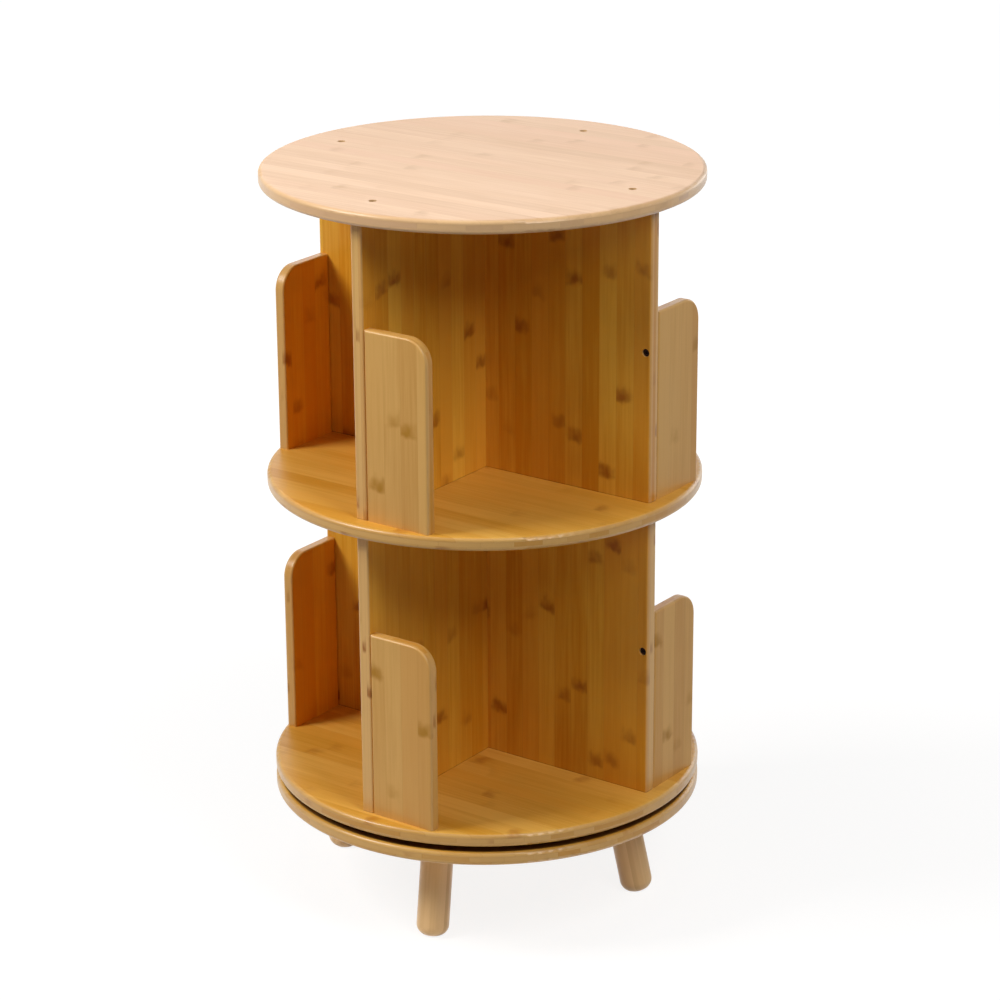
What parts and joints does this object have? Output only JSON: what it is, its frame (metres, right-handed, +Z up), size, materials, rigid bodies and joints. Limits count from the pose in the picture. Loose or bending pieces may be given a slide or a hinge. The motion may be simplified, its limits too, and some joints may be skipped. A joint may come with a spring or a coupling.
{
  "type": "revolving bookcase",
  "caption": "Free-standing round bamboo bookcase whose stacked book tiers, split by crossed partitions with upright book stops, turn on a ball bearing over a base with splayed legs.",
  "frame": {"origin": "on the floor, under the turning axis, midway between the four feet", "axes": "+Z up along the turning axis; the partition arms lie along +X, +Y, -X and -Y in the rest pose"},
  "size_m": [0.4499, 0.45, 0.7765],
  "materials": {
    "bamboo_top": "satin lacquered laminated bamboo, pale",
    "bamboo_board": "satin lacquered laminated bamboo, honey",
    "bamboo_stop": "satin lacquered laminated bamboo, upright grain",
    "bamboo_leg": "satin lacquered turned bamboo",
    "black_screws": "black oxide",
    "bearing_steel": "zinc plated pressed steel",
    "zinc_fixings": "bright zinc plate",
    "cage_steel": "plain steel strip",
    "ball_steel": "polished",
    "dowel_wood": "plain beech"
  },
  "bodies": {
    "base": {"base_disc": "bamboo_board", "leg_1": "bamboo_leg", "leg_2": "bamboo_leg", "leg_3": "bamboo_leg", "leg_4": "bamboo_leg", "bearing_lower_plate": "bearing_steel", "pivot_rivet": "bearing_steel", "bearing_lower_screws": "zinc_fixings", "leg_bolts": "zinc_fixings", "leg_inserts": "zinc_fixings"},
    "ball_ring": {"ball_cage": "cage_steel", "bearing_balls": "ball_steel"},
    "carousel": {"top_panel": "bamboo_top", "mid_shelf": "bamboo_board", "turntable_deck": "bamboo_board", "upper_partition_1": "bamboo_board", "upper_partition_2": "bamboo_board", "lower_partition_1": "bamboo_board", "lower_partition_2": "bamboo_board", "upper_stop_1": "bamboo_stop", "upper_stop_2": "bamboo_stop", "upper_stop_3": "bamboo_stop", "upper_stop_4": "bamboo_stop", "lower_stop_1": "bamboo_stop", "lower_stop_2": "bamboo_stop", "lower_stop_3": "bamboo_stop", "lower_stop_4": "bamboo_stop", "bearing_upper_plate": "bearing_steel", "bearing_upper_screws": "zinc_fixings", "top_screws": "black_screws", "mid_shelf_screws": "black_screws", "deck_screws": "black_screws", "upper_stop_screws": "black_screws", "lower_stop_screws": "black_screws", "upper_stop_base_screws": "black_screws", "lower_stop_base_screws": "black_screws", "partition_dowels": "dowel_wood"}
  },
  "joints": [
    {"name": "carousel_spin", "type": "hinge", "parent": "base", "child": "carousel", "pos_m": [0, 0, 0.12525], "axis": [0, 0, 1], "continuous": true},
    {"name": "cage_spin", "type": "hinge", "parent": "base", "child": "ball_ring", "pos_m": [0, 0, 0.12525], "axis": [0, 0, 1], "continuous": true}
  ],
  "couplings": [
    {"joint": "cage_spin", "follows": "carousel_spin", "ratio": 0.5}
  ]
}
